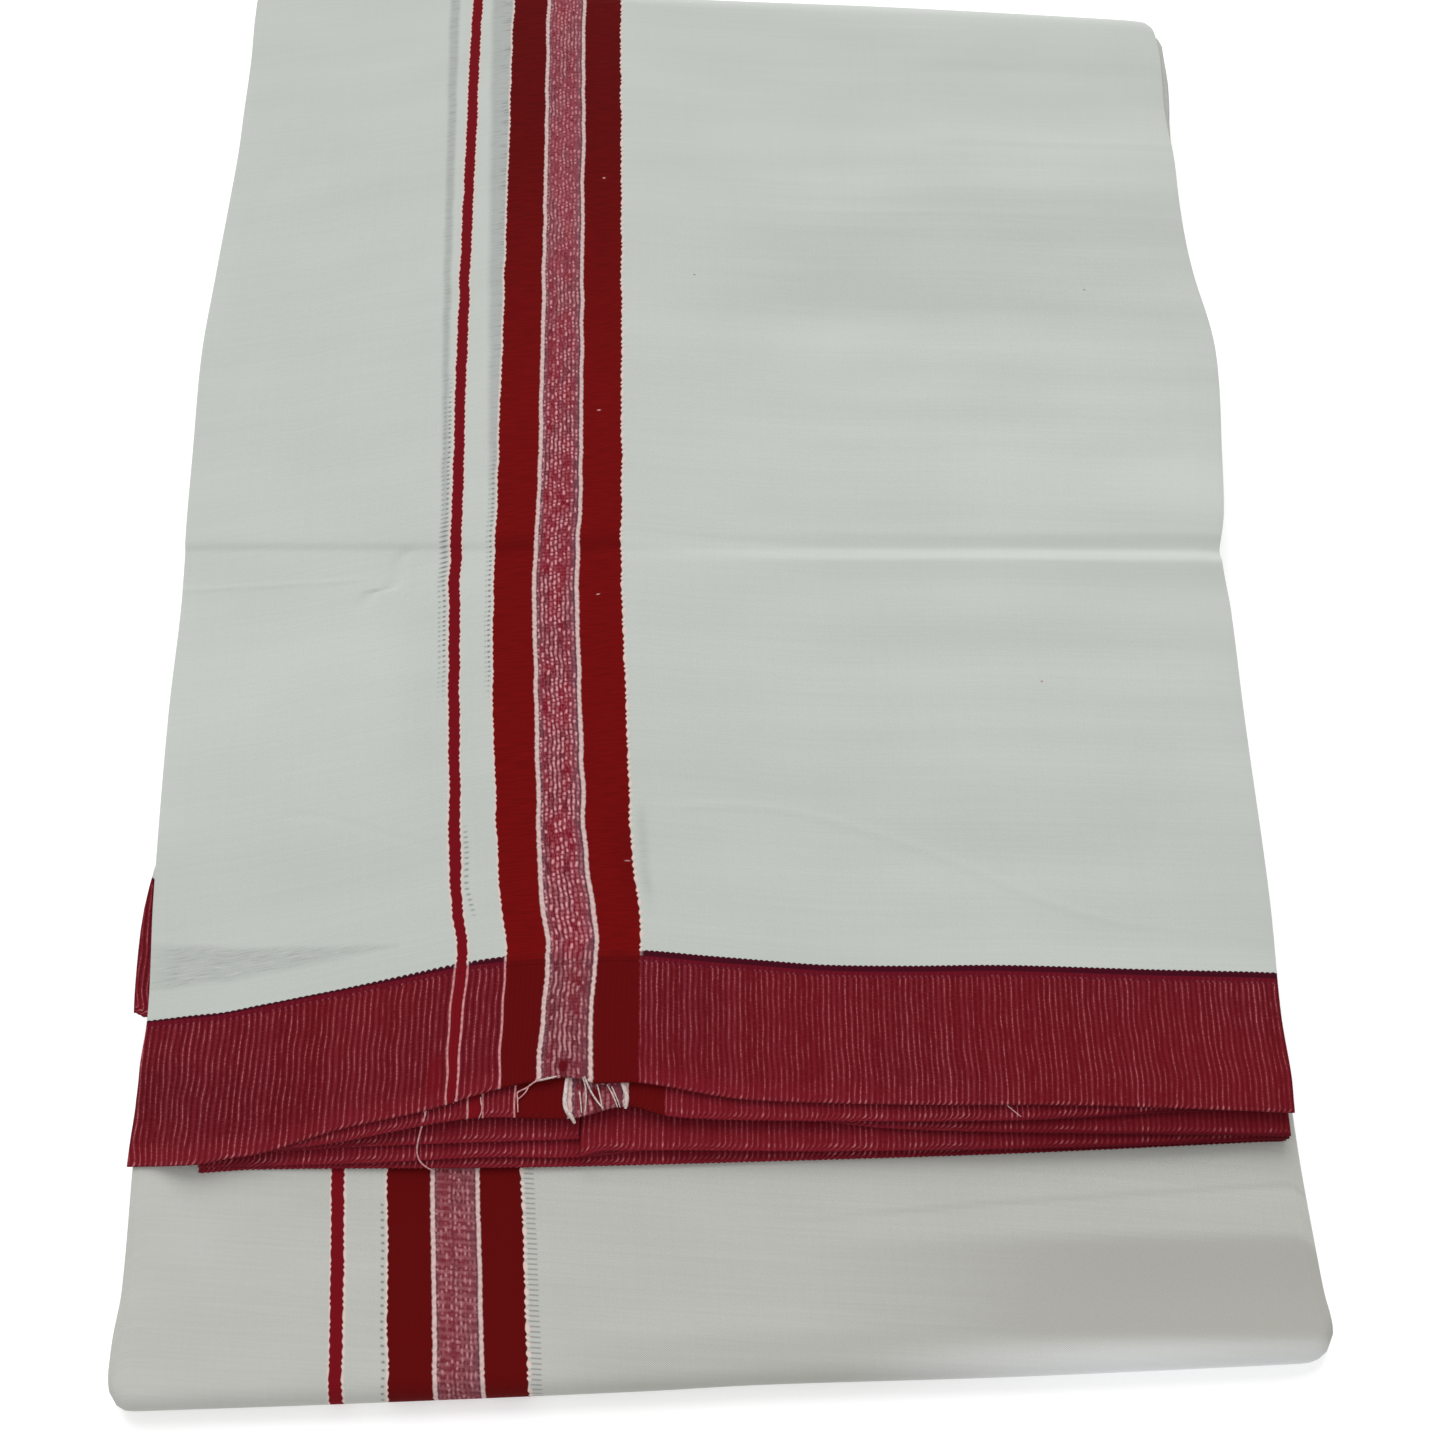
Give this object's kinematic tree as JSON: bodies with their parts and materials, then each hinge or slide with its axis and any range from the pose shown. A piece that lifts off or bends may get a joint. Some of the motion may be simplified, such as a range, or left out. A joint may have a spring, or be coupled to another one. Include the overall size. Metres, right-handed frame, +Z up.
{
  "type": "folded dhoti cloth",
  "caption": "White cotton dhoti cloth with woven maroon borders and ribbed end bands, folded into a flat rectangular bundle.",
  "frame": {"origin": "middle of the bundle's underside, on the surface that it lies on", "axes": "+Z up, +Y along the woven length, from the near fold towards the far fold, +X to the right of the border"},
  "size_m": [0.3218, 0.4574, 0.0162],
  "materials": {
    "white_cotton": "plain-woven white cotton with a maroon and crimson border",
    "folded_edges": "many folded layers of the same white cotton, seen at their folded edges",
    "end_band": "ribbed maroon end band, woven in"
  },
  "bodies": {
    "root": {"hidden_layers": "folded_edges", "near_panel": "white_cotton", "sixth_end": "end_band", "fifth_end": "end_band", "fourth_end_left": "end_band", "fourth_end_right": "end_band", "left_flap": "end_band", "third_end": "end_band", "second_end": "end_band", "top_panel": "white_cotton"}
  },
  "joints": []
}
